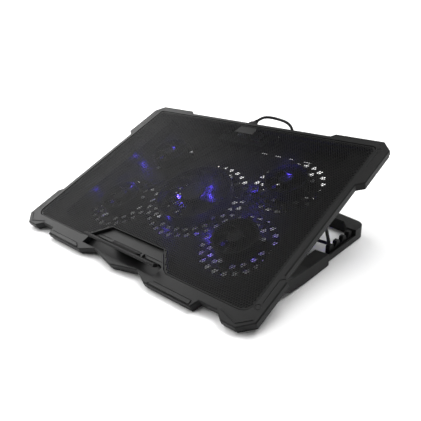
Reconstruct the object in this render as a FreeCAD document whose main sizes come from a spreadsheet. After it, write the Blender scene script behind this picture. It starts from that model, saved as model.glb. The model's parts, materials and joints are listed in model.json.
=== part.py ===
"""Laptop cooling pad: a wedge-shaped tray with five fans on a folding stand.

The tray is modelled lying flat, in its own frame: X to the right, Y to the rear with 0 at the
front edge of the mesh, Z up with 0 on the top face.  The stand is modelled standing on the
floor, with Y measured from the tray's front lower corner.  Placements then tilt the tray onto
its stand and centre the whole on its footprint, so that Z is 0 on the floor.
Millimetres.
"""
import FreeCAD, Part
import math
import os

import Sketcher
from FreeCAD import Placement, Rotation, Vector

SIZES = {
    # tray outline
    "side_half": 193.0,          # half width between the corner guards
    "front_tab_half": 199.0,     # half width over the front corner guards
    "rear_tab_half": 201.5,      # half width over the rear corner guards
    "rear_edge": 270.0,
    "rear_tab_edge": 275.5,
    "frame_depth": 6.2,          # height of the upper shell
    "rim_depth": 10.2,           # down to the lower edge of the rim
    "rim_inset": 1.2,            # lower shell steps in by this
    "edge_bevel": 1.1,
    # mesh and its opening
    "mesh_half": 186.0,
    "mesh_length": 264.0,
    "mesh_sink": 0.8,
    "mesh_thick": 0.8,
    "badge_thick": 0.4,
    "mesh_gap": 0.9,
    "ledge": 4.0,                # what the mesh's edge rests on
    "ledge_groove": 0.4,         # how far the groove round the ledge reaches under the mesh
    "mesh_corner": 12.0,
    # grooves, wells and beads of the rim
    "groove_width": 0.7,
    "groove_depth": 0.6,
    "insert_gap": 0.6,           # width of the groove round each front insert
    "insert_groove": 0.8,        # its depth
    "insert_thick": 0.5,
    "bead_width": 1.6,
    "scoop_depth": 2.6,
    "cap_radius": 3.2,           # of the wells over the cover screws
    "cap_depth": 1.0,
    "cap_thick": 0.8,
    "cap_gap": 0.35,
    # recess and slot of the laptop stop
    "recess_depth": 4.4,
    "slit_width": 2.4,
    "seam_width": 0.8,
    "seam_depth": 0.5,
    "tongue_gap": 1.2,
    "ear_width": 3.4,
    "ear_depth": 5.0,
    "slot_half": 65.2,
    "slot_front": -9.0,
    "slot_rear": 9.4,
    "tongue_slot_rear": 12.1,
    "tongue_half": 24.0,
    # lower shell
    "tub_half": 158.0,
    "tub_front": 20.5,
    "tub_rear": 260.0,
    "tub_depth": 26.0,
    "wall": 2.0,
    "hub_half": 58.0,            # half width of the connector housing at the rear
    "hub_rear": 268.6,
    # fans
    "fan_x": 103.0,
    "fan_front_y": 84.0,
    "fan_rear_y": 190.0,
    "fan_mid_y": 128.0,
    "big_fan": 51.0,             # outside radius of the middle fan's ring
    "small_fan": 28.0,           # outside radius of a corner fan's ring
    "fan_height": 14.0,
    "shaft_radius": 1.5,
    "bearing_radius": 3.6,
    "lug_radius": 3.4,
    "running_gap": 0.08,
    "screw_hole": 1.6,
    "screw_radius": 1.3,
    "screw_head": 2.6,
    "screw_head_height": 1.3,
    "vent_radius": 4.0,
    "vent_pitch": 12.5,
    "vent_clear": 9.2,           # least distance between two vents' middles
    "vent_slot_length": 12.0,
    "vent_slot_width": 3.0,
    "vent_slot_pitch": 22.6,
    "intake_radius": 2.6,
    "intake_pitch": 9.6,
    "intake_lane": 8.4,
    "ring_wall": 2.2,
    "strut_width": 5.4,
    "strut_thick": 1.6,
    "post_height": 8.0,
    "lug_height": 2.5,
    "hub_height": 10.6,
    "hub_wall": 1.6,
    "led_half": 2.3,
    "led_thick": 0.8,
    # stand
    "tilt": 22.0,                # degrees
    "hinge_y": 47.0,
    "hinge_z": -18.5,
    "hinge_pin": 2.5,
    "arm_outer": 185.6,
    "arm_inner": 168.5,
    "arm_width": 17.1,
    "rack_outer": 181.5,
    "rack_inner": 172.5,
    "stand_height": 16.0,
    "stand_foot": 1.0,
    "tooth_pitch": 14.7,
    "notch_half": 4.2,           # half width of a notch at its mouth
    # prop
    "prop_y": 159.5,
    "prop_z": -15.0,
    "prop_reach": 54.5,
    "prop_half": 170.0,
    "prop_radius": 2.0,
    # laptop stop
    "stop_y": 9.5,
    "stop_z": -3.4,
    "stop_reach": 14.0,
    "stop_half": 63.2,
    "stop_angle": 45.0,
    "stop_pin": 1.2,
    # controls in the rear wall
    "dial_x": 34.0,
    "dial_y": 262.3,
    "dial_radius": 8.0,
    "dial_thick": 3.0,
    "button_x": -47.0,
    "board_front": 244.0,
    "board_level": -19.2,
    "board_thick": 1.4,
    # cord
    "cord_radius": 2.1,
    "port_x": -16.0,
    "port_z": -15.0,
    "plug_width": 15.0,
    "plug_height": 8.0,
    "plug_length": 20.0,
    "relief_length": 6.0,
    "shell_width": 11.8,
    "shell_height": 4.4,
    "coil_radius": 19.0,
}

doc = FreeCAD.newDocument("cooling_pad")
sheet = doc.addObject("Spreadsheet::Sheet", "Sizes")
for row, (alias, number) in enumerate(SIZES.items(), start=1):
    sheet.set(f"A{row}", alias)
    sheet.set(f"B{row}", str(number))
    sheet.setAlias(f"B{row}", alias)
doc.recompute()

SIDES = {"left": -1, "right": 1}
FANS = {
    "front_left": (-SIZES["fan_x"], SIZES["fan_front_y"], "small_fan", 7),
    "front_right": (SIZES["fan_x"], SIZES["fan_front_y"], "small_fan", 7),
    "rear_left": (-SIZES["fan_x"], SIZES["fan_rear_y"], "small_fan", 7),
    "rear_right": (SIZES["fan_x"], SIZES["fan_rear_y"], "small_fan", 7),
    "middle": (0.0, SIZES["fan_mid_y"], "big_fan", 9),
}
TUB_FLOOR = SIZES["wall"] - SIZES["tub_depth"]

tray_nodes = []
stand_nodes = []


# ---------------------------------------------------------------- outlines
def mirrored(half):
    """A closed outline from its right half, given from the front to the rear."""
    return half + [(-x, *rest) for x, *rest in reversed(half) if x != 0]


def unit(a, b):
    return (Vector(b[0], b[1], 0) - Vector(a[0], a[1], 0)).normalize()


def offset(points, distance):
    """The outline grown by a distance (anticlockwise outlines grow with a positive one)."""
    grown = []
    for index, point in enumerate(points):
        before = unit(points[index - 1], point)
        after = unit(point, points[(index + 1) % len(points)])
        normal = Vector(before.y + after.y, -before.x - after.x, 0).normalize()
        spread = distance / (normal.x * before.y - normal.y * before.x)
        radius = point[2] if len(point) > 2 else 0
        grown.append((point[0] + normal.x * spread, point[1] + normal.y * spread, radius))
    return grown


def edges(points):
    """Lines through the points, with an arc where a point has a radius as its third value."""
    ends = []
    arcs = []
    for index, point in enumerate(points):
        here = Vector(point[0], point[1], 0)
        radius = point[2] if len(point) > 2 else 0
        if not radius:
            ends.append((here, here))
            arcs.append(None)
            continue
        back = unit(point, points[index - 1])
        forward = unit(point, points[(index + 1) % len(points)])
        middle = (back + forward).normalize()
        half = back.getAngle(forward) / 2
        run = radius / math.tan(half)
        ends.append((here + back * run, here + forward * run))
        tip = here + middle * (radius / math.sin(half) - radius)
        arcs.append(Part.Arc(ends[-1][0], tip, ends[-1][1]))
    result = []
    for index, arc in enumerate(arcs):
        if arc:
            result.append(arc)
        start = ends[index][1]
        end = ends[(index + 1) % len(ends)][0]
        if (end - start).Length > 1e-6:
            result.append(Part.LineSegment(start, end))
    return result


def strip(points, width):
    """The outline of a band of some width along an open line of points."""
    sides = ([], [])
    for index, point in enumerate(points):
        before = unit(points[max(index - 1, 0)], points[max(index, 1)])
        last = len(points) - 1
        after = unit(points[min(index, last - 1)], points[min(index + 1, last)])
        normal = Vector(before.y + after.y, -before.x - after.x, 0).normalize()
        reach = width / 2 / (normal.x * before.y - normal.y * before.x)
        for side, sign in zip(sides, (1, -1)):
            side.append((point[0] + sign * normal.x * reach, point[1] + sign * normal.y * reach))
    return sides[0] + sides[1][::-1]


def tray_outline():
    side = SIZES["side_half"]
    front = SIZES["front_tab_half"]
    rear = SIZES["rear_tab_half"]
    edge = SIZES["rear_edge"]
    tab = SIZES["rear_tab_edge"]
    return mirrored([
        (0, -18.8), (39, -10.3), (60, -19.7), (129, -19.7), (133, -10), (156, -9.8),
        (166, -17.6), (184, -17.7), (front, -4.6), (front, 47), (side, 53),
        (side, 194.5), (rear, 200.5), (rear, 262), (189, tab), (126, tab), (121, edge),
        (0, edge)])


def mesh_outline():
    """The mesh opening, with the bay of the laptop stop cut into its front edge."""
    half = SIZES["mesh_half"]
    corner = SIZES["mesh_corner"]
    return mirrored([
        (46.5, 26.3, 3), (69, 3.6, 4), (76, 0, 3), (half, 0, corner),
        (half, SIZES["mesh_length"], 5)])


# ---------------------------------------------------------------- building blocks
def new_body(name):
    body = doc.addObject("PartDesign::Body", name)
    body.Label = name
    return body


def new_sketch(body, name, role="XY_Plane", level=0.0, at=(0, 0)):
    """A sketch on one of the body's own planes, moved along its normal by level and to a place."""
    sketch = body.newObject("Sketcher::SketchObject", name)
    plane = next(item for item in body.Origin.OriginFeatures if item.Role == role)
    sketch.AttachmentSupport = [(plane, "")]
    sketch.MapMode = "FlatFace"
    sketch.AttachmentOffset = Placement(Vector(at[0], at[1], level), Rotation())
    return sketch


def draw(sketch, points):
    """Draw a closed outline and tie its ends together where they meet."""
    first = sketch.GeometryCount
    shapes = edges(points)
    sketch.addGeometry(shapes, False)
    for index in range(len(shapes)):
        here = first + index
        after = first + (index + 1) % len(shapes)
        for end, start in ((2, 1), (2, 2), (1, 1), (1, 2)):
            gap = sketch.getPoint(here, end).distanceToPoint(sketch.getPoint(after, start))
            if gap < 1e-5:
                sketch.addConstraint(Sketcher.Constraint("Coincident", here, end, after, start))
                break


def circle(sketch, x, y, radius):
    """Draw a circle; its radius is a number or an expression in the sheet's cells."""
    start = 1.0 if isinstance(radius, str) else radius
    index = sketch.addGeometry(Part.Circle(Vector(x, y, 0), Vector(0, 0, 1), start), False)
    limit = sketch.addConstraint(Sketcher.Constraint("Radius", index, start))
    if isinstance(radius, str):
        sketch.setExpression(f"Constraints[{limit}]", radius)


def pad(body, sketch, length, down=False):
    """Grow the sketch by a length, a number or an expression in the sheet's cells."""
    feature = body.newObject("PartDesign::Pad", "Grow")
    feature.Profile = sketch
    set_length(feature, length)
    feature.Reversed = down
    return feature


def pocket(body, sketch, length, up=False):
    """Cut the sketch into the body, downwards unless up is set, and see that it cut."""
    doc.recompute()
    before = body.Shape.Volume
    feature = body.newObject("PartDesign::Pocket", "Cut")
    feature.Profile = sketch
    set_length(feature, length)
    feature.Reversed = up
    doc.recompute()
    if not before - body.Shape.Volume > 0.01:
        raise RuntimeError(f"{body.Name}: {sketch.Name} cut nothing")
    return feature


def set_length(feature, length):
    if isinstance(length, str):
        feature.setExpression("Length", length)
    else:
        feature.Length = length


def prism(name, points, level, length, role="XY_Plane"):
    """A body that is one outline grown along its plane's normal."""
    body = new_body(name)
    outline = new_sketch(body, name + "_outline", role, level)
    draw(outline, points)
    pad(body, outline, length)
    return body


def primitive(kind, name, base, axis=(0, 0, 1), **cells):
    """A Part primitive with its sizes bound to expressions."""
    item = doc.addObject("Part::" + kind, name)
    for key, cell in cells.items():
        if isinstance(cell, str):
            item.setExpression(key, cell)
        else:
            setattr(item, key, cell)
    item.Placement = Placement(Vector(*base), Rotation(Vector(0, 0, 1), Vector(*axis)))
    return item


def joined(name, items):
    fuse = doc.addObject("Part::MultiFuse", name)
    fuse.Label = name
    fuse.Shapes = items
    return fuse


def cut(name, base, tool):
    item = doc.addObject("Part::Cut", name)
    item.Label = name
    item.Base = base
    item.Tool = tool
    return item


def group(name, shapes):
    """Several separate solids in one sub-part."""
    item = doc.addObject("Part::Feature", name)
    item.Label = name
    item.Shape = Part.makeCompound(shapes) if len(shapes) > 1 else shapes[0]
    return item


def cylinder(x, y, z, radius, height, axis=(0, 0, 1)):
    return Part.makeCylinder(radius, height, Vector(x, y, z), Vector(*axis))


def slab(x0, x1, y0, y1, z0, z1):
    return Part.makeBox(x1 - x0, y1 - y0, z1 - z0, Vector(x0, y0, z0))


def tube(points, radii, radius):
    """A round bar along straight runs joined by tangent arcs."""
    points = [Vector(*point) for point in points]
    path = []
    start = points[0]
    for before, here, after, bend in zip(points, points[1:], points[2:], radii):
        back = (before - here).normalize()
        forward = (after - here).normalize()
        half = back.getAngle(forward) / 2
        run = bend / math.tan(half)
        middle = (back + forward).normalize()
        tip = here + middle * (bend / math.sin(half) - bend)
        path.append(Part.LineSegment(start, here + back * run).toShape())
        path.append(Part.Arc(here + back * run, tip, here + forward * run).toShape())
        start = here + forward * run
    path.append(Part.LineSegment(start, points[-1]).toShape())
    wire = Part.Wire(path)
    ring = Part.Wire(Part.makeCircle(radius, points[0], points[1] - points[0]))
    solid = wire.makePipeShell([ring], True, True)
    return solid, wire.Length


# ---------------------------------------------------------------- the tray's shells
def make_top_frame():
    """The upper shell: a rim round the mesh, with a bay for the laptop stop at the front."""
    body = new_body("top_frame")
    rim = new_sketch(body, "rim_outline")
    draw(rim, tray_outline())
    block = pad(body, rim, "Sizes.frame_depth", down=True)
    doc.recompute()
    top = max(range(len(block.Shape.Faces)), key=lambda i: block.Shape.Faces[i].CenterOfMass.z)
    bevel = body.newObject("PartDesign::Chamfer", "rim_bevel")
    bevel.Base = (block, [f"Face{top + 1}"])
    bevel.setExpression("Size", "Sizes.edge_bevel")
    seat = new_sketch(body, "mesh_seat")
    draw(seat, mesh_outline())
    pocket(body, seat, "Sizes.mesh_sink + Sizes.mesh_thick")
    gap = new_sketch(body, "shadow_gap")
    draw(gap, mesh_outline())
    draw(gap, offset(mesh_outline(), -SIZES["mesh_gap"] - SIZES["ledge_groove"]))
    pocket(body, gap, "Sizes.recess_depth")
    window = new_sketch(body, "mesh_window")
    draw(window, offset(mesh_outline(), -SIZES["ledge"]))
    pocket(body, window, "Sizes.frame_depth + 1")
    bay = new_sketch(body, "stop_bay")
    draw(bay, [(-46.7, 26.8, 3), (-68.4, 4.6), (68.4, 4.6), (46.7, 26.8, 3)][::-1])
    pocket(body, bay, "Sizes.recess_depth")
    slits = new_sketch(body, "bay_slits")
    for sign in SIDES.values():
        draw(slits, strip([(sign * 49.0, 23.8), (sign * 66.3, 6.3)], SIZES["slit_width"]))
    pocket(body, slits, "Sizes.frame_depth")
    seam = new_sketch(body, "bay_seam", level=-SIZES["recess_depth"])
    seam_y = SIZES["tongue_slot_rear"] + SIZES["seam_width"]
    draw(seam, strip([(-56.2, seam_y), (56.2, seam_y)], SIZES["seam_width"]))
    pocket(body, seam, "Sizes.seam_depth")
    slot = new_sketch(body, "stop_slot")
    half = SIZES["slot_half"]
    front = SIZES["slot_front"]
    rear = SIZES["slot_rear"]
    tongue = SIZES["tongue_half"] + SIZES["tongue_gap"]
    deep = SIZES["tongue_slot_rear"]
    draw(slot, [(-half, front), (half, front), (half, 5.2), (56.0, rear), (tongue, rear), (tongue, deep),
                (-tongue, deep), (-tongue, rear), (-56.0, rear), (-half, 5.2)])
    pocket(body, slot, "Sizes.frame_depth")
    scoop = new_sketch(body, "finger_scoop")
    draw(scoop, [(0, -14.2), (38, front + 0.5), (-38, front + 0.5)])
    pocket(body, scoop, "Sizes.scoop_depth")
    grooves = new_sketch(body, "trim_grooves")
    front_groove = [(191.9, 16), (191.3, 46), (196.4, 50)]
    rear_groove = [(190.4, 222), (191.2, 262), (186.0, 268.6)]
    for sign in SIDES.values():
        for way in (front_groove, rear_groove):
            draw(grooves, strip([(sign * x, y) for x, y in way], SIZES["groove_width"]))
    pocket(body, grooves, "Sizes.groove_depth")
    seats = new_sketch(body, "insert_grooves")
    for sign in SIDES.values():
        draw(seats, insert_outline(sign, 0))
        draw(seats, insert_outline(sign, SIZES["insert_gap"]))
    pocket(body, seats, "Sizes.insert_groove")
    ears = new_sketch(body, "stop_ears", level=-SIZES["recess_depth"] - 0.5)
    ear_x = tongue + 0.2 + SIZES["ear_width"] / 2
    for sign in SIDES.values():
        draw(ears, rectangle(sign * ear_x, SIZES["stop_y"], SIZES["ear_width"], SIZES["ear_depth"]))
    pad(body, ears, "Sizes.ear_width")
    caps = new_sketch(body, "screw_wells")
    for x, y in screw_places():
        circle(caps, x, y, "Sizes.cap_radius")
    pocket(body, caps, "Sizes.cap_depth")
    beads = new_sketch(body, "corner_beads", level=-1.0)
    bead = [(158.5, -6.4), (181.3, -13.0), (194.2, -2.6)]
    for sign in SIDES.values():
        draw(beads, strip([(sign * x, y) for x, y in bead], SIZES["bead_width"]))
    pad(body, beads, "Sizes.bead_width")
    return body


def screw_places():
    """Where the four cover screws sit under their caps, in the corners of the rim."""
    return [(sign * x, y) for sign in SIDES.values() for x, y in ((190.2, 10.6), (190.6, 257.5))]


def badge_outline(gap):
    """A slanted oblong at the rear of the mesh, grown by a gap."""
    return offset([(-17.5, 246, 1), (14.5, 246, 1), (12, 260, 1), (-15, 260, 1)], gap)


def make_mesh_panel():
    """The sheet that the laptop lies on, with a shallow seat for the badge plate."""
    plate = offset(mesh_outline(), -SIZES["mesh_gap"])
    level = -SIZES["mesh_sink"] - SIZES["mesh_thick"]
    body = prism("mesh_panel", plate, level, "Sizes.mesh_thick")
    seat = new_sketch(body, "badge_seat", level=-SIZES["mesh_sink"])
    draw(seat, badge_outline(0.2))
    pocket(body, seat, "Sizes.badge_thick")
    return body


def vent_places():
    """Staggered rings of round holes about all fans but the rear left one.

    Holes that would touch each other or a fixing lug are left out.
    """
    lugs = [place for x, y, ring, _ in FANS.values() for place in lug_places(x, y, ring)]
    lug_clear = SIZES["vent_radius"] + SIZES["lug_radius"] + 0.4
    places = []
    for name, (x, y, ring, _) in reversed(FANS.items()):
        if name == "rear_left":
            continue
        for lane, gap in enumerate((5.5, 15.5)):
            radius = SIZES[ring] + gap
            count = round(2 * math.pi * radius / SIZES["vent_pitch"])
            for step in range(count):
                angle = 2 * math.pi * (step + lane / 2) / count
                place = (x + radius * math.cos(angle), y + radius * math.sin(angle))
                if any(math.dist(place, lug) < lug_clear for lug in lugs):
                    continue
                if all(math.dist(place, other) > SIZES["vent_clear"] for other in places):
                    places.append(place)
    return places


def intake_places():
    """Rings of round holes in the tub's floor below each fan's blades, clear of its struts."""
    places = []
    for x, y, ring, _ in FANS.values():
        radius = hub_radius(ring) + 5.0
        while radius < SIZES[ring] - 5.5:
            count = round(2 * math.pi * radius / SIZES["intake_pitch"])
            for step in range(count):
                angle = 360 * step / count
                aside = min(abs((angle - strut + 180) % 360 - 180) for strut in strut_angles(ring))
                if math.radians(aside) * radius > SIZES["intake_radius"] + 3.2:
                    places.append((x + radius * math.cos(math.radians(angle)),
                                   y + radius * math.sin(math.radians(angle))))
            radius += SIZES["intake_lane"]
    return places


def make_bottom_cover():
    """The lower shell: a shallow rim, a deep tub for the fans and a connector housing."""
    body = new_body("bottom_cover")
    frame_depth = -SIZES["frame_depth"]
    rim = new_sketch(body, "lower_rim", level=frame_depth)
    rim_outline = offset(tray_outline(), -SIZES["rim_inset"])
    draw(rim, rim_outline)
    pad(body, rim, "Sizes.rim_depth - Sizes.frame_depth", down=True)
    half = SIZES["tub_half"]
    hub = SIZES["hub_half"]
    tub_outline = mirrored([
        (half, SIZES["tub_front"], 8), (half, SIZES["tub_rear"], 8), (hub, SIZES["tub_rear"]),
        (hub, SIZES["hub_rear"])])
    tub = new_sketch(body, "tub_outline", level=frame_depth)
    draw(tub, tub_outline)
    pad(body, tub, "Sizes.tub_depth - Sizes.frame_depth", down=True)
    inside = new_sketch(body, "tub_inside", level=frame_depth)
    draw(inside, offset(tub_outline, -SIZES["wall"]))
    pocket(body, inside, "Sizes.tub_depth - Sizes.frame_depth - Sizes.wall")
    tray = new_sketch(body, "rim_inside", level=frame_depth)
    draw(tray, [(x, y) for x, y, _ in offset(rim_outline, -3.0)])
    pocket(body, tray, 2.0)
    vents = new_sketch(body, "vents", level=TUB_FLOOR)
    for x, y in vent_places():
        circle(vents, x, y, "Sizes.vent_radius")
    for x, y in intake_places():
        circle(vents, x, y, "Sizes.intake_radius")
    for step in range(4):
        slot_x = 33.0 + SIZES["vent_slot_pitch"] * step
        draw(vents, rectangle(slot_x, 240.0, SIZES["vent_slot_length"], SIZES["vent_slot_width"]))
    pocket(body, vents, "Sizes.wall")
    ports = new_sketch(body, "ports", "XZ_Plane", -SIZES["hub_rear"] + SIZES["wall"])
    for x, _ in port_places():
        draw(ports, rectangle(x, SIZES["port_z"], 13.2, 6.2))
    draw(ports, rectangle(SIZES["dial_x"], SIZES["port_z"], 14.5, 3.8))
    draw(ports, rectangle(SIZES["button_x"], SIZES["port_z"], 8.6, 5.0))
    pocket(body, ports, "Sizes.wall + 1")
    hinge_y = SIZES["hinge_y"]
    lug = [(hinge_y - 9, -SIZES["rim_depth"] + 0.5), (hinge_y - 5, SIZES["hinge_z"] - 5.5, 3),
           (hinge_y + 5, SIZES["hinge_z"] - 5.5, 3), (hinge_y + 9, -SIZES["rim_depth"] + 0.5)]
    lug_inner = SIZES["tub_half"] - 0.5
    lug_outer = SIZES["arm_inner"] - 0.6
    for side, start in (("left", -lug_outer), ("right", lug_inner)):
        outline = new_sketch(body, "hinge_lug_" + side, "YZ_Plane", start)
        draw(outline, lug)
        pad(body, outline, lug_outer - lug_inner)
    holes = new_sketch(body, "screw_holes", level=frame_depth)
    for x, y in screw_places():
        circle(holes, x, y, "Sizes.screw_hole")
    pocket(body, holes, "Sizes.rim_depth - Sizes.frame_depth")
    return body


def rectangle(x, y, width, height):
    """A rectangle about its middle."""
    return [(x - width / 2, y - height / 2), (x + width / 2, y - height / 2),
            (x + width / 2, y + height / 2), (x - width / 2, y + height / 2)]


def port_places():
    """The two sockets in the rear wall: the one in use and a spare."""
    return [(SIZES["port_x"], SIZES["port_z"]), (SIZES["port_x"] + 24, SIZES["port_z"])]


# ---------------------------------------------------------------- trims and fasteners
def make_badge_plate():
    """A blank plate with slanted ends, let into the rear of the mesh."""
    level = -SIZES["mesh_sink"] - SIZES["badge_thick"]
    return prism("badge_plate", badge_outline(0), level, "Sizes.badge_thick")


def insert_outline(sign, gap):
    """The long trim in a swelling of the rim's front edge, grown by a gap."""
    corners = ((65, -18.2), (126, -18.2), (126, -13.6), (72, -13.6))
    outline = [(sign * x, y, 0.8) for x, y in corners]
    return offset(outline[::sign], gap)


def make_front_insert(side):
    """A trim on the rim's front edge, with a groove round it."""
    return prism("front_insert_" + side, insert_outline(SIDES[side], 0), 0.0, "Sizes.insert_thick")


def make_screw_caps():
    """Flat caps at the bottom of the wells over the cover screws."""
    level = -SIZES["cap_depth"]
    return group("screw_caps", [
        cylinder(x, y, level, SIZES["cap_radius"] - SIZES["cap_gap"], SIZES["cap_thick"])
        for x, y in screw_places()])


def make_cover_screws():
    """Four pan-head screws that hold the lower shell to the upper one from below."""
    shapes = []
    for x, y in screw_places():
        head_low = -SIZES["rim_depth"] - SIZES["screw_head_height"]
        head = cylinder(x, y, head_low, SIZES["screw_head"], SIZES["screw_head_height"])
        shank = cylinder(x, y, -SIZES["rim_depth"] - 0.2, SIZES["screw_radius"], 6.6)
        shapes.append(head.fuse(shank))
    return group("cover_screws", shapes)


def make_front_foot(side):
    """A rubber strip whose front bevel lies on the floor when the tray is tilted."""
    base = -SIZES["tub_depth"]
    low = base - 1.48
    profile = [(20.5, base), (20.5, base - 0.1), (23.9, low), (31.0, low), (31.0, base)]
    start = 92.0 if SIDES[side] > 0 else -148.0
    return prism("front_foot_" + side, profile, start, 56.0, "YZ_Plane")


# ---------------------------------------------------------------- fans
def hub_radius(ring):
    return SIZES[ring] * 0.34


def strut_angles(ring):
    return [20 + 90 * step for step in range(4)] if ring == "big_fan" else [90, 210, 330]


def lug_places(x, y, ring):
    """Where a fan's fixing lugs are, halfway between its struts."""
    angles = strut_angles(ring)
    gap = 180 / len(angles)
    reach = SIZES[ring] + 2.8
    return [(x + reach * math.cos(math.radians(angle + gap)),
             y + reach * math.sin(math.radians(angle + gap))) for angle in angles]


def make_fan_frame(name, x, y, ring):
    """A fan's ring, its struts and the bearing tube in the middle."""
    body = new_body("fan_frame_" + name)
    middle = (x, y)
    wall = new_sketch(body, "ring_" + name, level=TUB_FLOOR, at=middle)
    circle(wall, 0, 0, f"Sizes.{ring}")
    circle(wall, 0, 0, f"Sizes.{ring} - Sizes.ring_wall")
    pad(body, wall, "Sizes.fan_height")
    for index, angle in enumerate(strut_angles(ring)):
        along = Vector(math.cos(math.radians(angle)), math.sin(math.radians(angle)), 0)
        near = along * (hub_radius(ring) - 4)
        far = along * (SIZES[ring] - 1)
        strut = new_sketch(body, f"strut_{index}_{name}", level=TUB_FLOOR, at=middle)
        draw(strut, strip([near, far], SIZES["strut_width"]))
        pad(body, strut, "Sizes.strut_thick")
    base = new_sketch(body, "motor_base_" + name, level=TUB_FLOOR, at=middle)
    circle(base, 0, 0, hub_radius(ring))
    pad(body, base, "Sizes.strut_thick")
    post_low = TUB_FLOOR + SIZES["strut_thick"]
    post = new_sketch(body, "bearing_" + name, level=post_low, at=middle)
    circle(post, 0, 0, "Sizes.bearing_radius")
    pad(body, post, "Sizes.post_height")
    bore = new_sketch(body, "bore_" + name, level=post_low + SIZES["post_height"], at=middle)
    circle(bore, 0, 0, "Sizes.shaft_radius + Sizes.running_gap")
    pocket(body, bore, 8.5)
    for index, (lug_x, lug_y) in enumerate(lug_places(x, y, ring)):
        lug = new_sketch(body, f"lug_{index}_{name}", level=TUB_FLOOR)
        circle(lug, lug_x, lug_y, "Sizes.lug_radius")
        pad(body, lug, "Sizes.lug_height")
    drilled = new_sketch(body, "lug_holes_" + name, level=TUB_FLOOR + SIZES["lug_height"])
    for lug_x, lug_y in lug_places(x, y, ring):
        circle(drilled, lug_x, lug_y, "Sizes.screw_hole")
    pocket(body, drilled, "Sizes.lug_height")
    return body


def make_fan_rotor(name, x, y, ring, blades):
    """A cup-shaped hub on a shaft, with pitched blades round it."""
    body = new_body("fan_rotor_" + name)
    middle = (x, y)
    low = TUB_FLOOR + SIZES["strut_thick"] + 1.0
    hub = new_sketch(body, "hub_" + name, level=low, at=middle)
    circle(hub, 0, 0, hub_radius(ring))
    pad(body, hub, "Sizes.hub_height")
    cup = new_sketch(body, "cup_" + name, level=low, at=middle)
    circle(cup, 0, 0, hub_radius(ring) - SIZES["hub_wall"])
    cup_depth = SIZES["hub_height"] - SIZES["hub_wall"]
    pocket(body, cup, cup_depth, up=True)
    shaft = new_sketch(body, "shaft_" + name, level=low + cup_depth, at=middle)
    circle(shaft, 0, 0, "Sizes.shaft_radius")
    pad(body, shaft, 8.6, down=True)
    half_chord = SIZES[ring] * 0.24
    blade = new_sketch(body, "blade_" + name, "XZ_Plane", -(y + hub_radius(ring) - 0.6), at=(x, 0))
    draw(blade, [(-half_chord, low + 1.0), (-half_chord + 1.6, low + 0.6),
                 (half_chord, low + 9.0), (half_chord - 1.6, low + 9.4)])
    plate = pad(body, blade, SIZES[ring] - hub_radius(ring) - 3.6, down=True)
    doc.recompute()
    pattern = body.newObject("PartDesign::PolarPattern", "blades_" + name)
    pattern.Originals = [plate]
    pattern.Axis = (shaft, ["N_Axis"])
    pattern.Angle = 360
    pattern.Occurrences = blades
    body.Tip = pattern
    return body


def make_led_set(name, x, y, ring):
    """Flat light-emitting diodes, one on each strut of the fan's frame."""
    reach = SIZES[ring] * (0.5 if ring == "big_fan" else 0.62)
    half = SIZES["led_half"]
    low = TUB_FLOOR + SIZES["strut_thick"]
    shapes = []
    for angle in strut_angles(ring):
        turned = slab(reach - half, reach + half, -half, half, low, low + SIZES["led_thick"])
        turned.rotate(Vector(0, 0, 0), Vector(0, 0, 1), angle)
        turned.translate(Vector(x, y, 0))
        shapes.append(turned)
    return group("leds_" + name, shapes)


def make_fan_screws():
    """A screw through each fixing lug of the fans, into the tub's floor."""
    shapes = []
    for x, y, ring, _ in FANS.values():
        for lug_x, lug_y in lug_places(x, y, ring):
            head_low = TUB_FLOOR + SIZES["lug_height"]
            head = cylinder(lug_x, lug_y, head_low, SIZES["screw_head"], SIZES["screw_head_height"])
            shank = cylinder(lug_x, lug_y, TUB_FLOOR - 1.2, SIZES["screw_radius"], 4.0)
            shapes.append(head.fuse(shank))
    return group("fan_screws", shapes)


# ---------------------------------------------------------------- electrics
def make_control_board():
    rear = SIZES["hub_rear"] - SIZES["wall"] - 0.4
    outline = [(-54, SIZES["board_front"]), (26, SIZES["board_front"]), (26, rear), (-54, rear)]
    return prism("control_board", outline, SIZES["board_level"], "Sizes.board_thick")


def make_socket(name, x):
    """An open metal socket let into the rear wall."""
    body = new_body(name)
    rear = SIZES["hub_rear"] - 0.2
    case = new_sketch(body, name + "_case", "XZ_Plane", -rear)
    draw(case, rectangle(x, SIZES["port_z"], 12.8, 5.6))
    pad(body, case, 14.0)
    mouth = new_sketch(body, name + "_mouth", "XZ_Plane", -rear)
    draw(mouth, rectangle(x, SIZES["port_z"], 12.0, 4.6))
    pocket(body, mouth, 12.4, up=True)
    return body


def make_lead_block():
    """The row of terminals along the board's front edge, where the fans' leads end."""
    top = SIZES["board_level"] + SIZES["board_thick"]
    rear = SIZES["board_front"]
    return group("lead_block", [slab(-46, 24, rear - 3.6, rear, TUB_FLOOR, top)])


def make_fan_leads():
    """Each fan's lead, lying on the tub's floor from its ring to the board."""
    front = SIZES["board_front"] - 2.6
    level = TUB_FLOOR + 0.9
    shapes = []
    for sign, first, second in ((-1, -36, -43), (1, 14, 21)):
        long_way = [(sign * 88.5, 109.5), (sign * 76, 131), (sign * 73, 166), (sign * 58, 202),
                    (first, 232), (first, front)]
        short_way = [(sign * 82.5, 210.6), (sign * 68, 225), (second - sign * 2, 233),
                     (second, front)]
        for way in (long_way, short_way):
            path = [(x, y, level) for x, y in way]
            shapes.append(tube(path, [5.0] * (len(path) - 2), 0.8)[0])
    path = [(0, 180, level), (-4, 200, level), (-10, 222, level), (-10, front, level)]
    shapes.append(tube(path, [8.0, 8.0], 0.8)[0])
    return group("fan_leads", shapes)


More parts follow.
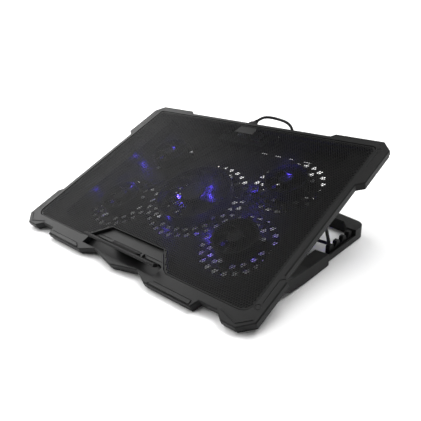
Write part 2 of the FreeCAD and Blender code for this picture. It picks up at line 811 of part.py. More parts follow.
def make_speed_dial():
    """A thumb wheel on an upright shaft, standing out through a slot in the rear wall."""
    level = SIZES["port_z"] - SIZES["dial_thick"] / 2
    top = level + SIZES["dial_thick"]
    middle = (SIZES["dial_x"], SIZES["dial_y"])
    body = new_body("speed_dial")
    wheel = new_sketch(body, "wheel", level=level, at=middle)
    circle(wheel, 0, 0, "Sizes.dial_radius")
    pad(body, wheel, "Sizes.dial_thick")
    bore = new_sketch(body, "wheel_bore", level=top, at=middle)
    circle(bore, 0, 0, "Sizes.shaft_radius + Sizes.running_gap")
    pocket(body, bore, "Sizes.dial_thick")
    knurl = new_sketch(body, "knurl", level=top, at=middle)
    circle(knurl, 0, SIZES["dial_radius"] + 0.25, 0.7)
    groove = pocket(body, knurl, "Sizes.dial_thick")
    pattern = body.newObject("PartDesign::PolarPattern", "knurling")
    pattern.Originals = [groove]
    pattern.Axis = (wheel, ["N_Axis"])
    pattern.Angle = 360
    pattern.Occurrences = 24
    body.Tip = pattern
    return body


def make_dial_pot():
    """The potentiometer under the thumb wheel, with the shaft that carries it."""
    x = SIZES["dial_x"]
    y = SIZES["dial_y"]
    wheel_low = SIZES["port_z"] - SIZES["dial_thick"] / 2
    case = slab(x - 5, x + 5, y - 6, y + 4, TUB_FLOOR, wheel_low - 0.5)
    shaft = cylinder(x, y, wheel_low - 1, SIZES["shaft_radius"], SIZES["dial_thick"] + 0.8)
    return group("dial_pot", [case.fuse(shaft)])


def make_light_button():
    rear = SIZES["hub_rear"]
    outline = [(SIZES["button_x"] - 4, rear - 5.6), (SIZES["button_x"] + 4, rear - 5.6),
               (SIZES["button_x"] + 4, rear + 1.4, 0.8), (SIZES["button_x"] - 4, rear + 1.4, 0.8)]
    return prism("light_button", outline, SIZES["port_z"] - 2.2, 4.4)


def make_light_switch():
    rear = SIZES["hub_rear"] - 6.6
    x = SIZES["button_x"]
    top = SIZES["board_level"] + SIZES["board_thick"]
    return group("light_switch", [slab(x - 3.5, x + 3.5, rear - 6, rear, top, top + 5.2)])


# ---------------------------------------------------------------- stand and prop
TILT = Placement(Vector(0, 0, 0), Rotation(Vector(1, 0, 0), SIZES["tilt"]))
CORNER = Vector(0, -17.0, -11.0)


def on_floor(x, y, z):
    """A point of the tray's frame, seen in the frame that the stand is drawn in."""
    return TILT.multVec(Vector(x, y, z) - CORNER)


def make_stand_frame():
    """A U-shaped frame: cranked arms in front, toothed racks' beds, and a bar at the rear."""
    body = new_body("stand_frame")
    foot = SIZES["stand_foot"]
    height = SIZES["stand_height"]
    inner = SIZES["rack_inner"]
    outer = SIZES["rack_outer"]
    bar_outline = mirrored([
        (105, 253, 20), (158, 244, 5), (168, 230.5), (outer, 229.5), (outer, 254, 16),
        (105, 272, 30)])
    bar = new_sketch(body, "rear_bar", level=foot)
    draw(bar, bar_outline)
    pad(body, bar, height - foot)
    for side, sign in SIDES.items():
        bed = new_sketch(body, "rack_bed_" + side, level=foot)
        draw(bed, rectangle(sign * (inner + outer) / 2, 191, outer - inner, 82))
        pad(body, bed, 2.5)
        wall = new_sketch(body, "rack_wall_" + side, level=foot)
        draw(wall, rectangle(sign * (outer - 1.1), 191, 2.2, 82))
        pad(body, wall, 8.0)
    pivot = on_floor(0, SIZES["hinge_y"], SIZES["hinge_z"])
    nose = pivot.y - 6.5
    profile = [
        (158, foot), (158, height, 2), (116, height + 0.2, 40), (84, 18.4, 30),
        (70, pivot.z + 6.5, 8), (nose, pivot.z + 6.5, 6.4), (nose, pivot.z - 6.5, 6.4),
        (64, pivot.z - 6.5, 6), (80, 4.0, 20), (108, foot, 40)]
    arm_levels = {"left": -SIZES["arm_outer"], "right": SIZES["arm_inner"]}
    for side, level in arm_levels.items():
        arm = new_sketch(body, "arm_" + side, "YZ_Plane", level)
        draw(arm, profile)
        pad(body, arm, "Sizes.arm_width")
    hollow = new_sketch(body, "bar_hollow", level=foot)
    draw(hollow, offset(bar_outline, -2.2))
    pocket(body, hollow, height - foot - 2.2, up=True)
    for side, sign in SIDES.items():
        room = new_sketch(body, "arm_hollow_" + side, level=foot)
        draw(room, rectangle(sign * (SIZES["arm_inner"] + SIZES["arm_outer"]) / 2, 119, 12.7, 72))
        pocket(body, room, height - foot - 2.6, up=True)
    bore_levels = {"left": -SIZES["arm_inner"] + 1, "right": SIZES["arm_outer"] - 2.5}
    for side, level in bore_levels.items():
        bore = new_sketch(body, "hinge_bore_" + side, "YZ_Plane", level)
        circle(bore, pivot.y, pivot.z, "Sizes.hinge_pin + Sizes.running_gap")
        pocket(body, bore, "Sizes.arm_width - 1.5")
    return body


def notch_places():
    """Notches of the rack, counted from the one that holds the prop."""
    first = on_floor(0, SIZES["prop_y"], SIZES["prop_z"] - SIZES["prop_reach"])
    return [(first.y + step * SIZES["tooth_pitch"], first.z) for step in range(3)]


def make_rack(side):
    """A toothed bar that the prop's crossbar rests against."""
    notches = notch_places()
    low = notches[0][1] - SIZES["prop_radius"] - 0.3
    top = SIZES["stand_height"]
    base = SIZES["stand_foot"] + 2.5
    half = SIZES["notch_half"]
    start = notches[0][0] - SIZES["tooth_pitch"] * 0.85
    end = notches[-1][0] + SIZES["tooth_pitch"] * 0.75
    profile = [(start, base), (end, base), (end, top, 1)]
    for middle, _ in reversed(notches):
        profile += [(middle + half, top, 1), (middle + half - 1.8, low, 1),
                    (middle - half + 1.8, low, 1), (middle - half, top, 1)]
    profile.append((start, top, 1))
    thick = 5.0
    level = SIZES["rack_inner"] if SIDES[side] > 0 else -SIZES["rack_inner"] - thick
    return prism("rack_" + side, profile, level, thick, "YZ_Plane")


def make_stand_foot(side):
    sign = SIDES[side]
    foot = SIZES["stand_foot"]
    front = slab(171, 183, 126, 148, 0, foot)
    rear = slab(146, 166, 248, 256, 0, foot)
    if sign < 0:
        front = front.mirror(Vector(0, 0, 0), Vector(1, 0, 0))
        rear = rear.mirror(Vector(0, 0, 0), Vector(1, 0, 0))
    return group("stand_feet_" + side, [front, rear])


def make_hinge_pin(side):
    start = 161.0 if SIDES[side] > 0 else -182.6
    pin = cylinder(start, SIZES["hinge_y"], SIZES["hinge_z"], SIZES["hinge_pin"], 21.6, (1, 0, 0))
    return group("stand_pin_" + side, [pin])


def make_prop():
    """A bent wire: two legs and the crossbar between them, turned in at its pivots."""
    half = SIZES["prop_half"]
    y = SIZES["prop_y"]
    high = SIZES["prop_z"]
    low = high - SIZES["prop_reach"]
    path = [(half - 7.6, y, high), (half, y, high), (half, y, low), (-half, y, low), (-half, y, high),
            (-half + 7.6, y, high)]
    solid, _ = tube(path, [3.2, 4.5, 4.5, 3.2], SIZES["prop_radius"])
    return group("prop_wire", [solid])


def make_prop_clip(side):
    """A clip under the rim that the end of the prop turns in."""
    body = new_body("prop_clip_" + side)
    y = SIZES["prop_y"]
    base = -SIZES["rim_depth"]
    width = 4.8
    start = 161.6 if SIDES[side] > 0 else -161.6 - width
    block = new_sketch(body, "clip_" + side, "YZ_Plane", start)
    low = SIZES["prop_z"] - 4
    draw(block, [(y - 7, base), (y - 4, low, 2.5), (y + 4, low, 2.5), (y + 7, base)])
    pad(body, block, width)
    bore = new_sketch(body, "clip_bore_" + side, "YZ_Plane", start + width)
    circle(bore, y, SIZES["prop_z"], "Sizes.prop_radius + Sizes.running_gap")
    pocket(body, bore, width)
    return body


# ---------------------------------------------------------------- laptop stop
def make_stop_flap():
    """The bar that keeps a laptop from sliding, on a tongue with a hinge knuckle; lying flat."""
    body = new_body("stop_flap")
    y = SIZES["stop_y"]
    z = SIZES["stop_z"]
    bar_y = y - SIZES["stop_reach"]
    tongue = SIZES["tongue_half"]
    knuckle = new_sketch(body, "knuckle", "YZ_Plane", -tongue)
    circle(knuckle, y, z, 2.4)
    pad(body, knuckle, "2 * Sizes.tongue_half")
    plate = new_sketch(body, "tongue", "YZ_Plane", -tongue)
    draw(plate, [(bar_y, z - 0.9), (y, z - 1.2), (y, z + 1.6), (bar_y, z + 2.4)])
    pad(body, plate, "2 * Sizes.tongue_half")
    bar = new_sketch(body, "bar", "YZ_Plane", -SIZES["stop_half"])
    draw(bar, [(bar_y - 3.1, z - 0.6, 0.8), (bar_y + 2.9, z - 0.9, 0.8), (bar_y + 2.9, z + 2.4, 1.0),
               (bar_y - 3.1, z + 3.2, 1.2)])
    pad(body, bar, "2 * Sizes.stop_half")
    bore = new_sketch(body, "knuckle_bore", "YZ_Plane", tongue)
    circle(bore, y, z, "Sizes.stop_pin + Sizes.running_gap")
    pocket(body, bore, "2 * Sizes.tongue_half")
    return body


def make_stop_pin():
    reach = SIZES["tongue_half"] + 4.0
    pin = cylinder(-reach, SIZES["stop_y"], SIZES["stop_z"], SIZES["stop_pin"], 2 * reach, (1, 0, 0))
    return group("stop_pin", [pin])


# ---------------------------------------------------------------- cord
# The cord's way from the plug in the rear wall, over to the right, down behind the stand and
# into its coil: points chosen by hand, in the finished part's own frame.
CORD_ROUTE = [
    (-16.0, 157.7, 113.1), (-14.6, 166.4, 116.0), (-9.0, 173.0, 116.9), (-0.2, 176.2, 116.2),
    (11.2, 176.2, 115.0), (22.5, 174.6, 113.8), (31.2, 173.0, 110.8), (37.2, 171.4, 104.2),
    (39.4, 170.4, 95.0), (40.6, 170.0, 83.0), (42.0, 171.0, 69.0), (43.2, 173.6, 53.5),
    (43.4, 178.6, 38.5), (43.4, 186.0, 24.8), (45.6, 194.6, 13.4), (51.6, 201.4, 6.0),
    (60.4, 205.0, 2.9), (70.6, 204.2, 2.25), (80.2, 198.9, 2.2)]
COIL_CENTRE = (69.8, 180.5)
COIL_TURNS = 3.4
LAPTOP_PLUG_PLACE = Placement(
    Vector(30, COIL_CENTRE[1] - SIZES["coil_radius"] - SIZES["cord_radius"], SIZES["plug_height"] / 2),
    Rotation(Vector(0, 0, 1), -90))


def make_plug(name, relief_length):
    """A moulded plug lying along Y, with a tapered relief where its cord comes out."""
    width = SIZES["plug_width"]
    height = SIZES["plug_height"]
    moulding = primitive(
        "Box", name + "_moulding", (-width / 2, 0, -height / 2),
        Length="Sizes.plug_width", Width="Sizes.plug_length", Height="Sizes.plug_height")
    relief = primitive(
        "Cone", name + "_relief", (0, SIZES["plug_length"] - 1, 0), (0, 1, 0),
        Radius1="1.8 * Sizes.cord_radius", Radius2="Sizes.cord_radius + 0.4", Height=relief_length + 1)
    return joined(name, [moulding, relief])


def make_plug_shell(name):
    """The plug's metal shell, a flat box that is open in front."""
    width = SIZES["shell_width"]
    height = SIZES["shell_height"]
    reach = 11.2
    outside = primitive(
        "Box", name + "_outside", (-width / 2, -reach, -height / 2),
        Length="Sizes.shell_width", Width=reach, Height="Sizes.shell_height")
    inside = primitive(
        "Box", name + "_inside", (-width / 2 + 0.4, -reach - 1, -height / 2 + 0.4),
        Length="Sizes.shell_width - 0.8", Width=reach - 1, Height="Sizes.shell_height - 0.8")
    return cut(name, outside, inside)


def bend_radii(points):
    """The largest radius at each inner point that leaves both of its runs a straight part."""
    radii = []
    for before, here, after in zip(points, points[1:], points[2:]):
        back = Vector(*before) - Vector(*here)
        forward = Vector(*after) - Vector(*here)
        turn = math.pi - back.getAngle(forward)
        radii.append(0.45 * min(back.Length, forward.Length) / math.tan(turn / 2))
    return radii


def make_cord():
    radii = bend_radii(CORD_ROUTE)
    solid, length = tube(CORD_ROUTE, radii, SIZES["cord_radius"])
    filled = solid.Volume / (math.pi * SIZES["cord_radius"] ** 2 * length)
    wound = COIL_TURNS * 2 * math.pi * SIZES["coil_radius"]
    print("cord radii", [round(radius, 1) for radius in radii])
    print(f"cord's tube {length:.1f}, volume over section times length {filled:.4f}")
    print(f"cord's whole length {length + wound:.0f}")
    return group("usb_cord", [solid])


def make_coil():
    """The outer shape of the cord's turns, which lie two by two."""
    radius = SIZES["coil_radius"]
    thick = SIZES["cord_radius"] * 2.05
    x, y = COIL_CENTRE
    outer = primitive("Cylinder", "coil_outside", (x, y, 0), Radius=radius + thick, Height=2 * thick)
    inner = primitive("Cylinder", "coil_inside", (x, y, -1), Radius=radius - thick, Height=2 * thick + 2)
    return cut("cord_coil", outer, inner)


# ---------------------------------------------------------------- build and place
tray_nodes += [make_top_frame(), make_mesh_panel(), make_bottom_cover(), make_badge_plate()]
tray_nodes += [make_front_insert(side) for side in SIDES]
tray_nodes += [make_screw_caps(), make_cover_screws()]
tray_nodes += [make_front_foot(side) for side in SIDES]
for fan, (fan_x, fan_y, fan_ring, fan_blades) in FANS.items():
    tray_nodes.append(make_fan_frame(fan, fan_x, fan_y, fan_ring))
    tray_nodes.append(make_fan_rotor(fan, fan_x, fan_y, fan_ring, fan_blades))
    tray_nodes.append(make_led_set(fan, fan_x, fan_y, fan_ring))
tray_nodes += [make_fan_screws(), make_control_board(), make_lead_block(), make_fan_leads()]
tray_nodes += [
    make_socket(name, x) for name, (x, _) in zip(("usb_socket", "spare_socket"), port_places())]
tray_nodes += [make_speed_dial(), make_dial_pot(), make_light_button(), make_light_switch()]
tray_nodes += [make_hinge_pin(side) for side in SIDES]
tray_nodes += [make_prop(), make_stop_pin()]
tray_nodes += [make_prop_clip(side) for side in SIDES]
stop_flap = make_stop_flap()
stand_nodes += [make_stand_frame()]
stand_nodes += [make_rack(side) for side in SIDES]
stand_nodes += [make_stand_foot(side) for side in SIDES]
near_plug = [make_plug("usb_plug", SIZES["relief_length"]), make_plug_shell("usb_plug_shell")]
far_plug = [make_plug("laptop_plug", 2 * SIZES["relief_length"]), make_plug_shell("laptop_plug_shell")]
cord_nodes = near_plug + far_plug + [make_cord(), make_coil()]
doc.recompute()

tray_place = TILT * Placement(-CORNER, Rotation())
stop_turn = Placement(Vector(0, 0, 0), Rotation(Vector(1, 0, 0), -SIZES["stop_angle"]),
                      Vector(0, SIZES["stop_y"], SIZES["stop_z"]))
port_place = Placement(Vector(SIZES["port_x"], SIZES["hub_rear"] + 0.2, SIZES["port_z"]), Rotation())
for node in tray_nodes:
    node.Placement = tray_place
stop_flap.Placement = tray_place * stop_turn
footprint = FreeCAD.BoundBox()
for node in tray_nodes + stand_nodes + [stop_flap]:
    footprint.add(node.Shape.optimalBoundingBox(True, False))
centre = Placement(Vector(0, -footprint.Center.y, -footprint.ZMin), Rotation())
for node in tray_nodes + stand_nodes + [stop_flap]:
    node.Placement = centre * node.Placement
for node in near_plug:
    node.Placement = centre * tray_place * port_place
for node in far_plug:
    node.Placement = LAPTOP_PLUG_PLACE
doc.recompute()
nodes = tray_nodes + stand_nodes + [stop_flap] + cord_nodes


def show_axes():
    """Print where the joints' axes lie in the finished part's frame."""
    middle = {name: (x, y, TUB_FLOOR) for name, (x, y, _, _) in FANS.items()}
    places = {
        "stand hinge": (0, SIZES["hinge_y"], SIZES["hinge_z"]),
        "prop pivot": (0, SIZES["prop_y"], SIZES["prop_z"]),
        "stop hinge": (0, SIZES["stop_y"], SIZES["stop_z"]),
        "dial": (SIZES["dial_x"], SIZES["dial_y"], SIZES["port_z"]),
        "cord exit": (SIZES["port_x"], SIZES["hub_rear"] + 26.2, SIZES["port_z"]),
    }
    for name, place in {**places, **middle}.items():
        print(name, [round(value, 4) for value in (centre * tray_place).multVec(Vector(*place))])


show_axes()

os.makedirs("parts", exist_ok=True)
for item in doc.Objects:
    if "Invalid" in item.State or "Error" in item.State:
        raise RuntimeError(f"{item.Name} failed: {item.State}")
for node in nodes:
    if node.Shape.isNull() or not node.Shape.isValid():
        raise RuntimeError(f"{node.Label} has no valid shape")
    node.Shape.exportStep(f"parts/{node.Label}.step")
print(len(nodes), "nodes")
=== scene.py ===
"""Laptop cooling pad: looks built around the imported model.

Lengths in the tray's own frame are in millimetres: X to the right, Y to the rear from the mesh's
front edge, Z up from the top face.  tray() turns them into the model's frame in metres.
"""

import json
import math

import bpy
from mathutils import Euler, Matrix, Vector
from mathutils.geometry import delaunay_2d_cdt


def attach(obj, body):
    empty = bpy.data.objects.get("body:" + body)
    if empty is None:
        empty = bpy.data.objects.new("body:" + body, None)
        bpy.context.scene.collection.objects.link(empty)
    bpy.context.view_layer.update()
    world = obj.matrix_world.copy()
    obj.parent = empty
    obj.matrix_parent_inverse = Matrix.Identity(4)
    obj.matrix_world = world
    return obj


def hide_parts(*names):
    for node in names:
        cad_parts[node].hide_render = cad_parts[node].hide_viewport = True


MM = 0.001
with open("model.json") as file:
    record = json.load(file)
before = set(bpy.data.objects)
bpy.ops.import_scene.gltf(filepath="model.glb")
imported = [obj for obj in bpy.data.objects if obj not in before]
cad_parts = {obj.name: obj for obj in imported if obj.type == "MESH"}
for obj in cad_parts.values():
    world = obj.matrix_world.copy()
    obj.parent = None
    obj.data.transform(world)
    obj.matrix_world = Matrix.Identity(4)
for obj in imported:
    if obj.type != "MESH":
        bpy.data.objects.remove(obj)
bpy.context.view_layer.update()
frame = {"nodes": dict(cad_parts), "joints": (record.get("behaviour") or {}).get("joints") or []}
scene = bpy.context.scene
joints = {joint["name"]: joint for joint in frame["joints"]}
nodes = frame["nodes"]

# ---------------------------------------------------------------- the tray's frame
MIDDLE_FAN = Vector((0.0, 128.0, -15.0))    # where the middle fan's joint is, in the tray's frame
up = Vector(joints["fan_spin_middle"]["axis"]).normalized()
rearward = up.cross(Vector((1, 0, 0)))
turn = Matrix((Vector((1, 0, 0)), rearward, up)).transposed()
TRAY = turn.to_4x4() @ Matrix.Scale(MM, 4)
TRAY.translation = Vector(joints["fan_spin_middle"]["pos_m"]) - turn @ MIDDLE_FAN * MM

TUB_FLOOR = -24.0
# x, y, outside radius of the ring and number of blades
FANS = {
    "front_left": (-103.0, 84.0, 28.0, 7),
    "front_right": (103.0, 84.0, 28.0, 7),
    "rear_left": (-103.0, 190.0, 28.0, 7),
    "rear_right": (103.0, 190.0, 28.0, 7),
    "middle": (0.0, 128.0, 51.0, 9),
}


def tray(x, y, z):
    return TRAY @ Vector((x, y, z))


# ---------------------------------------------------------------- camera
CAMERA_PLACE = (0.4119, -0.4052, 0.2776)
CAMERA_TURN = (66.48, 2.05, 42.37)          # degrees
CAMERA_LENS = 41.05


def make_camera():
    data = bpy.data.cameras.new("camera")
    data.lens = CAMERA_LENS
    data.sensor_width = 36.0
    data.clip_start = 0.01
    camera = bpy.data.objects.new("camera", data)
    camera.location = CAMERA_PLACE
    camera.rotation_euler = Euler([math.radians(angle) for angle in CAMERA_TURN])
    scene.collection.objects.link(camera)
    scene.camera = camera


# ---------------------------------------------------------------- material building blocks
NOISE_ROUGHNESS = 0.55


class Surface:
    """A principled material with helpers for the textures that drive it."""

    def __init__(self, name, colour, roughness, metallic=0.0, **sockets):
        self.material = bpy.data.materials.new(name)
        self.material.use_nodes = True
        self.tree = self.material.node_tree
        self.shader = self.tree.nodes["Principled BSDF"]
        self.shader.inputs["Base Color"].default_value = (*colour, 1.0)
        self.shader.inputs["Roughness"].default_value = roughness
        self.shader.inputs["Metallic"].default_value = metallic
        for socket, value in sockets.items():
            self.shader.inputs[socket.replace("_", " ")].default_value = value
        self.place = self.tree.nodes.new("ShaderNodeTexCoord").outputs["Object"]
        self.normal = None

    def node(self, kind, **values):
        made = self.tree.nodes.new(kind)
        for name, value in values.items():
            if name in made.inputs:
                made.inputs[name].default_value = value
            else:
                setattr(made, name, value)
        return made

    def link(self, start, end):
        self.tree.links.new(start, end)

    def noise(self, scale, detail=3.0):
        made = self.node("ShaderNodeTexNoise", Scale=scale, Detail=detail, Roughness=NOISE_ROUGHNESS)
        self.link(self.place, made.inputs["Vector"])
        return made.outputs["Fac"]

    def ramp(self, source, stops):
        made = self.node("ShaderNodeValToRGB")
        elements = made.color_ramp.elements
        while len(elements) < len(stops):
            elements.new(0.5)
        for element, (position, colour) in zip(elements, stops):
            element.position = position
            element.color = (*colour, 1.0)
        self.link(source, made.inputs["Fac"])
        return made.outputs["Color"]

    def span(self, source, low, high):
        """A value from 0 to 1 spread from low to high."""
        made = self.node("ShaderNodeMapRange")
        made.inputs["To Min"].default_value = low
        made.inputs["To Max"].default_value = high
        self.link(source, made.inputs["Value"])
        return made.outputs["Result"]

    def colour_from(self, source, stops):
        self.link(self.ramp(source, stops), self.shader.inputs["Base Color"])

    def roughness_from(self, source, low, high):
        self.link(self.span(source, low, high), self.shader.inputs["Roughness"])

    def bump(self, source, strength, distance):
        made = self.node("ShaderNodeBump", Strength=strength, Distance=distance)
        self.link(source, made.inputs["Height"])
        if self.normal:
            self.link(self.normal, made.inputs["Normal"])
        self.normal = made.outputs["Normal"]
        self.link(self.normal, self.shader.inputs["Normal"])

    def rounded(self, radius):
        """Edges catch the light as if they were rounded."""
        made = self.node("ShaderNodeBevel", samples=4, Radius=radius)
        self.normal = made.outputs["Normal"]
        self.link(self.normal, self.shader.inputs["Normal"])


def shade(grey):
    return grey, grey, grey


PLASTIC_SHEEN = 0.14                        # low, as the plastic is satin
PLASTIC_EDGE = 0.0006                       # metres
GRAIN_SCALE = 2600.0


def moulded_plastic(name, grey, roughness, grain=0.25):
    """Dark moulded plastic with a fine spark-eroded grain and a faint unevenness."""
    surface = Surface(name, shade(grey), roughness, Specular_IOR_Level=PLASTIC_SHEEN)
    surface.rounded(PLASTIC_EDGE)
    patches = surface.noise(24.0, 4.0)
    surface.colour_from(patches, [(0.3, shade(grey * 0.9)), (0.7, shade(grey * 1.1))])
    surface.roughness_from(surface.noise(60.0, 5.0), roughness - 0.05, roughness + 0.06)
    surface.bump(surface.noise(GRAIN_SCALE, 2.0), grain, 0.00006)
    return surface.material


def coated_steel():
    """The black powder-coated sheet under the laptop."""
    surface = Surface("coated_steel", shade(0.014), 0.38, Specular_IOR_Level=0.06)
    surface.colour_from(surface.noise(35.0), [(0.3, shade(0.0125)), (0.7, shade(0.016))])
    surface.roughness_from(surface.noise(90.0, 4.0), 0.33, 0.43)
    surface.bump(surface.noise(3500.0, 2.0), 0.2, 0.00004)
    return surface.material


def shaded_hole_walls():
    """The cut walls of the sheet's holes, painted near-black as the shade down inside the holes."""
    surface = Surface("shaded_hole_walls", shade(0.003), 0.7, Specular_IOR_Level=0.02)
    surface.colour_from(surface.noise(60.0), [(0.3, shade(0.002)), (0.7, shade(0.004))])
    return surface.material


def rubber():
    surface = Surface("rubber", shade(0.022), 0.75, Specular_IOR_Level=0.3)
    surface.colour_from(surface.noise(120.0), [(0.3, shade(0.018)), (0.7, shade(0.03))])
    surface.roughness_from(surface.noise(200.0), 0.68, 0.85)
    surface.bump(surface.noise(1800.0, 3.0), 0.35, 0.0001)
    return surface.material


def brushed_steel():
    surface = Surface("bright_steel", (0.55, 0.56, 0.58), 0.3, 1.0)
    stretched = surface.node("ShaderNodeMapping")
    stretched.inputs["Scale"].default_value = (60.0, 2500.0, 2500.0)
    surface.link(surface.place, stretched.inputs["Vector"])
    lines = surface.node("ShaderNodeTexNoise", Scale=1.0, Detail=3.0)
    surface.link(stretched.outputs["Vector"], lines.inputs["Vector"])
    surface.roughness_from(lines.outputs["Fac"], 0.22, 0.42)
    surface.bump(lines.outputs["Fac"], 0.12, 0.00005)
    return surface.material


def cord_jacket():
    surface = Surface("cord_jacket", shade(0.004), 0.5, Specular_IOR_Level=0.15)
    surface.colour_from(surface.noise(150.0), [(0.3, shade(0.003)), (0.7, shade(0.006))])
    surface.roughness_from(surface.noise(250.0), 0.42, 0.58)
    surface.bump(surface.noise(1400.0, 2.0), 0.2, 0.00008)
    return surface.material


def glowing(name, colour, strength):
    surface = Surface(name, (0.05, 0.05, 0.12), 0.25)
    surface.shader.inputs["Emission Color"].default_value = (*colour, 1.0)
    surface.shader.inputs["Emission Strength"].default_value = strength
    surface.roughness_from(surface.noise(900.0), 0.2, 0.35)
    return surface.material


def circuit_board():
    surface = Surface("circuit_board", (0.003, 0.006, 0.005), 0.4, Specular_IOR_Level=0.3)
    lacquer = [(0.45, (0.002, 0.005, 0.004)), (0.6, (0.004, 0.009, 0.007))]
    surface.colour_from(surface.noise(700.0, 1.0), lacquer)
    surface.bump(surface.noise(900.0, 1.0), 0.3, 0.00005)
    return surface.material


MATERIALS = {
    "shell": moulded_plastic("shell_plastic", 0.007, 0.45),
    # lower shell: its own dark plastic, made darker still as painted shade inside the tray and on the
    # lower rim under the top frame
    "lower": moulded_plastic("shaded_lower_plastic", 0.004, 0.5),
    "stand": moulded_plastic("stand_plastic", 0.006, 0.48),
    "trim": moulded_plastic("trim_plastic", 0.008, 0.42, grain=0.1),
    # fans: their own black plastic, made darker still as painted shade under the sheet
    "fan": moulded_plastic("shaded_fan_plastic", 0.005, 0.4, grain=0.1),
    "mesh": coated_steel(),
    "hole": shaded_hole_walls(),
    "rubber": rubber(),
    "steel": brushed_steel(),
    "wire": moulded_plastic("wire_coating", 0.02, 0.35, grain=0.08),
    "cord": cord_jacket(),
    "led": glowing("led_lens", (0.12, 0.07, 1.0), 0.2),
    "board": circuit_board(),
}


# ---------------------------------------------------------------- mesh building blocks
SHARP_ANGLE = 35                            # degrees; steeper edges stay sharp


def add_piece(name, points, faces, body, material, smooth=True):
    """A new piece from points in metres; sharp edges stay sharp when it is smooth."""
    mesh = bpy.data.meshes.new(name)
    mesh.from_pydata([tuple(point) for point in points], [], faces)
    mesh.validate()
    piece = bpy.data.objects.new(name, mesh)
    scene.collection.objects.link(piece)
    mesh.materials.append(MATERIALS[material])
    if smooth:
        mesh.shade_smooth()
        mesh.set_sharp_from_angle(angle=math.radians(SHARP_ANGLE))
    else:
        mesh.shade_flat()
    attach(piece, body)
    return piece


def dress(node, material):
    """Give a carried-over node its material."""
    mesh = nodes[node].data
    mesh.materials.clear()
    mesh.materials.append(MATERIALS[material])


# ---------------------------------------------------------------- cord
CORD_RADIUS = 2.1
# millimetres in the model's frame: out of the plug, over the rear edge, down to the floor
CORD_ROUTE = [
    (-16.0, 157.7, 113.1), (-14.6, 166.4, 116.0), (-9.0, 173.0, 116.9), (-0.2, 176.2, 116.2),
    (11.2, 176.2, 115.0), (22.5, 174.6, 113.8), (31.2, 173.0, 110.8), (37.2, 171.4, 104.2),
    (39.4, 170.4, 95.0), (40.6, 170.0, 83.0), (42.0, 171.0, 69.0), (43.2, 173.6, 53.5),
    (43.4, 178.6, 38.5), (43.4, 186.0, 24.8), (45.6, 194.6, 13.4), (51.6, 201.4, 6.0),
    (60.4, 205.0, 2.9), (70.6, 204.2, 2.25), (80.2, 198.9, 2.2)]
COIL_CENTRE = (69.8, 180.5)
COIL_RADIUS = 19.0
COIL_START = 60.6                           # degrees
COIL_END = -90.0 - 3 * 360.0
TURN_STEP = 18.0
INNER_LANE = (290, 350)                     # degrees wound where the cord moves to the inner lane,
SECOND_LAYER = (590, 650)                   # climbs onto the first turns,
OUTER_LANE = (880, 950)                     # and moves back to the outer lane


def between(value, start, end):
    """How far value has come from start to end, easing in and out."""
    share = min(1.0, max(0.0, (value - start) / (end - start)))
    return share * share * (3 - 2 * share)


def coil_points():
    """Turns side by side on the floor, then on top of them, that change lanes one after another."""
    points = []
    wound = COIL_START - COIL_END
    count = round(wound / TURN_STEP)
    for step in range(1, count + 1):
        gone = wound * step / count
        lane = 1 - between(gone, *INNER_LANE) + between(gone, *OUTER_LANE)
        level = between(gone, *SECOND_LAYER)
        radius = COIL_RADIUS + CORD_RADIUS * (2 * lane - 1)
        angle = math.radians(COIL_START - gone)
        points.append((COIL_CENTRE[0] + radius * math.cos(angle),
                       COIL_CENTRE[1] + radius * math.sin(angle),
                       CORD_RADIUS * (1 + 2 * level) + 0.1))
    return points


def make_cord():
    coil = coil_points()
    end_x, end_y, _ = coil[-1]
    to_plug = [(end_x - 4.0, end_y, 5.4), (end_x - 8.0, end_y, 4.2)]
    points = CORD_ROUTE + coil + to_plug
    curve = bpy.data.curves.new("usb_lead", "CURVE")
    curve.dimensions = "3D"
    spline = curve.splines.new("NURBS")
    spline.points.add(len(points) - 1)
    for control, point in zip(spline.points, points):
        control.co = (*(Vector(point) * MM), 1.0)
    spline.order_u = 3
    spline.use_endpoint_u = True
    spline.resolution_u = 6
    curve.bevel_depth = CORD_RADIUS * MM
    curve.bevel_resolution = 5
    curve.use_fill_caps = True
    curve.materials.append(MATERIALS["cord"])
    piece = bpy.data.objects.new("usb_lead", curve)
    scene.collection.objects.link(piece)
    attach(piece, "tray")
    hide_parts("usb_cord", "cord_coil")
    return piece


# ---------------------------------------------------------------- plugs
PORT = (-16.0, 268.8, -15.0)                # where the rear wall's plug begins, in the tray's frame
LAPTOP_PLUG = (30.0, 159.4, 4.0)            # where the other plug's face is, on the floor
PLUG_LENGTH = 20.0
PLUG_HALF = (7.5, 4.0)                      # across and up
RELIEF_START = 3.78                         # radii of the relief, by the plug and by the cord
RELIEF_END = CORD_RADIUS + 0.35
NEAR_RELIEF = 6.0                           # lengths of the two plugs' reliefs
FAR_RELIEF = 12.0
RIB_PITCH = 1.5
RIB_HEIGHT = 0.5


def rounded_section(half_x, half_z, corner, count=7):
    """An upright rounded oblong; a circle when the corner is as large as both halves."""
    points = []
    for quarter, (sign_x, sign_z) in enumerate(((1, 1), (-1, 1), (-1, -1), (1, -1))):
        for step in range(count):
            angle = math.radians(90 * (quarter + step / (count - 1)))
            points.append((sign_x * (half_x - corner) + corner * math.cos(angle),
                           sign_z * (half_z - corner) + corner * math.sin(angle)))
    return points


